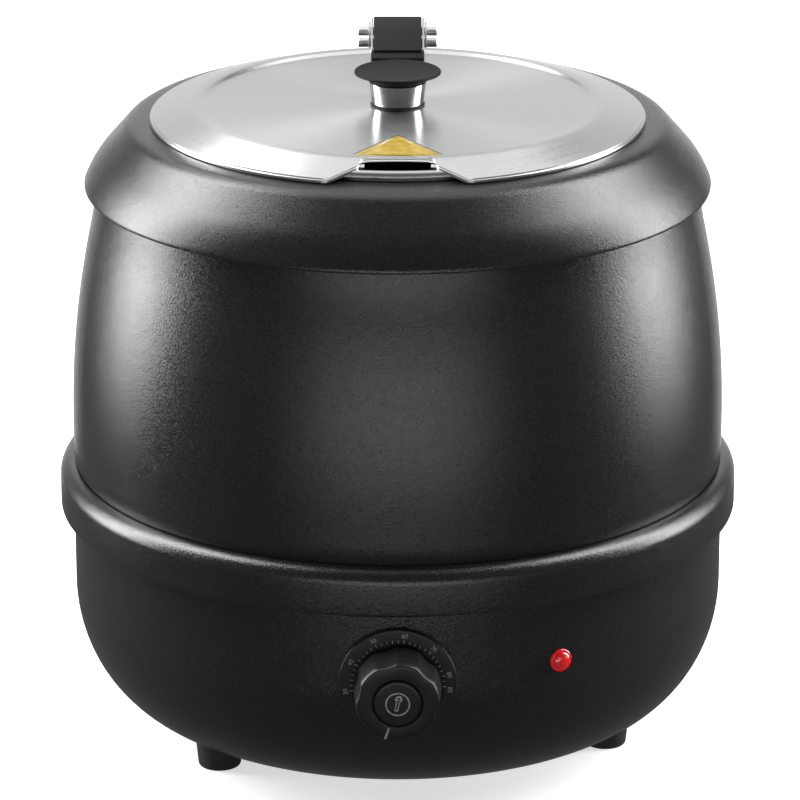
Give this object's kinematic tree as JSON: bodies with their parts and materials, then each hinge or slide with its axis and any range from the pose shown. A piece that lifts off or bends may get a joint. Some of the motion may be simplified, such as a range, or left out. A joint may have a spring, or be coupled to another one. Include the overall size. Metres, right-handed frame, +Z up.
{
  "type": "soup kettle",
  "caption": "Black round soup kettle with a stainless lift-out pot, a lift-off collar, a hinged steel lid with a black knob, and a front temperature dial.",
  "frame": {"origin": "on the kettle's axis at floor level, under its three feet", "axes": "+Z up, the dial faces -Y, the lid's hinge is at +Y, +X is to the right seen from the front"},
  "size_m": [0.34, 0.38, 0.34],
  "materials": {
    "black_plastic": "smooth moulded black, satin",
    "powder_coat": "fine textured black powder coat",
    "stainless": "brushed stainless steel",
    "polished_steel": "mirror polished",
    "rubber": "matt black",
    "zinc_plated": "zinc plated, dull",
    "silicone": "matt grey silicone",
    "brass": "drawn, slightly dull",
    "aluminium": "milled",
    "phenolic": "moulded, matt",
    "red_lens": "clear red, polished",
    "brown_wire": "smooth insulation",
    "blue_wire": "smooth insulation",
    "white_wire": "woven heat-proof sleeve",
    "red_wire": "smooth insulation",
    "yellow_plastic": "smooth insulation"
  },
  "bodies": {
    "housing": {"base_bowl": "black_plastic", "barrel": "powder_coat", "water_well": "stainless", "well_gasket": "silicone", "bottom_plate": "zinc_plated", "foot_1": "rubber", "foot_2": "rubber", "foot_3": "rubber", "foot_screw_1": "zinc_plated", "foot_screw_2": "zinc_plated", "foot_screw_3": "zinc_plated", "bottom_screw_1": "zinc_plated", "bottom_screw_2": "zinc_plated", "bottom_screw_3": "zinc_plated", "bottom_screw_4": "zinc_plated", "heating_element": "stainless", "heat_plate": "aluminium", "element_clamp": "zinc_plated", "heat_shield": "zinc_plated", "centre_stud": "zinc_plated", "clamp_nut": "zinc_plated", "base_nut": "zinc_plated", "thermal_cutout": "phenolic", "sensor_bulb": "brass", "terminal_block": "phenolic", "thermostat_body": "phenolic", "dial_bezel": "black_plastic", "thermostat_screw_1": "zinc_plated", "thermostat_screw_2": "zinc_plated", "lamp_lens": "red_lens", "lamp_body": "phenolic", "lamp_nut": "black_plastic", "cord_gland": "black_plastic", "gland_nut": "black_plastic", "mains_wire_1": "brown_wire", "mains_wire_2": "blue_wire", "element_wire_1": "white_wire", "element_wire_2": "white_wire", "thermostat_wire": "red_wire", "lamp_wire": "yellow_plastic", "capillary_tube": "brass"},
    "dial": {"dial_knob": "black_plastic", "dial_cap": "black_plastic", "thermostat_shaft": "brass"},
    "pot": {"soup_pot": "stainless"},
    "collar_unit": {"collar": "powder_coat", "hinge_bracket": "stainless", "hinge_pin": "stainless", "stop_pin": "stainless", "bracket_screw_1": "stainless", "bracket_screw_2": "stainless"},
    "lid_unit": {"lid": "stainless", "lid_bracket": "stainless", "hinge_cover": "black_plastic", "lid_rivet_1": "stainless", "lid_rivet_2": "stainless", "knob_washer": "rubber", "knob_ferrule": "polished_steel", "knob_cap": "black_plastic", "knob_screw": "stainless"}
  },
  "joints": [
    {"name": "dial_turn", "type": "hinge", "parent": "housing", "child": "dial", "pos_m": [0, -0.166, 0.0826], "axis": [0, 1, 0], "range_deg": [0, 256]},
    {"name": "pot_lift", "type": "slide", "parent": "housing", "child": "pot", "axis": [0, 0, 1], "range_m": [0, 0.26]},
    {"name": "collar_lift", "type": "slide", "parent": "pot", "child": "collar_unit", "axis": [0, 0, 1], "range_m": [0, 0.1]},
    {"name": "lid_hinge", "type": "hinge", "parent": "collar_unit", "child": "lid_unit", "pos_m": [0, 0.133, 0.3246], "axis": [-1, 0, 0], "range_deg": [0, 100]}
  ]
}
